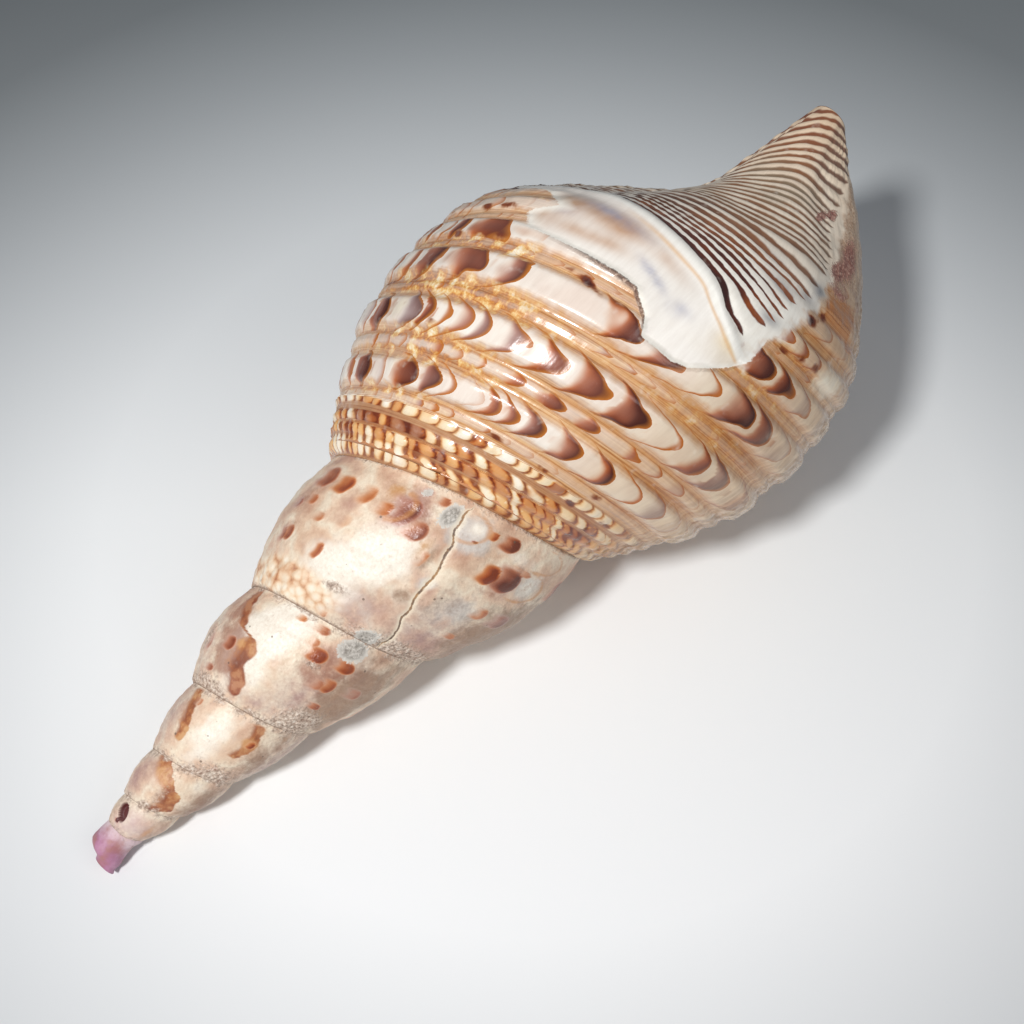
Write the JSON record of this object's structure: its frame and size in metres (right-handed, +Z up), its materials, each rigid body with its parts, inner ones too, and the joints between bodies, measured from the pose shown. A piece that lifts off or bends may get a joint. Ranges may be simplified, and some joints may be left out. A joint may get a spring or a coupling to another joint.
{
  "type": "giant triton seashell",
  "caption": "Large spiral triton seashell lying on its side, with a tall worn spire, ribbed and patterned body whorl, striped canal and open hollow mouth.",
  "frame": {"origin": "centre of the shell's footprint at table height, z = 0 at the flat spots it rests on", "axes": "+X runs from the apex to the end of the siphonal canal along the length, +Z is up, and the mouth opens towards +Y and slightly up"},
  "size_m": [0.3287, 0.136, 0.134],
  "materials": {
    "shell_glossy": "glossy, pale pinkish cream with dark brown crescents and tan spiral cords",
    "shell_mouth": "polished, orange inside with white and dark brown folds at the lips"
  },
  "bodies": {
    "root": {"triton_shell": "shell_glossy"}
  },
  "joints": []
}
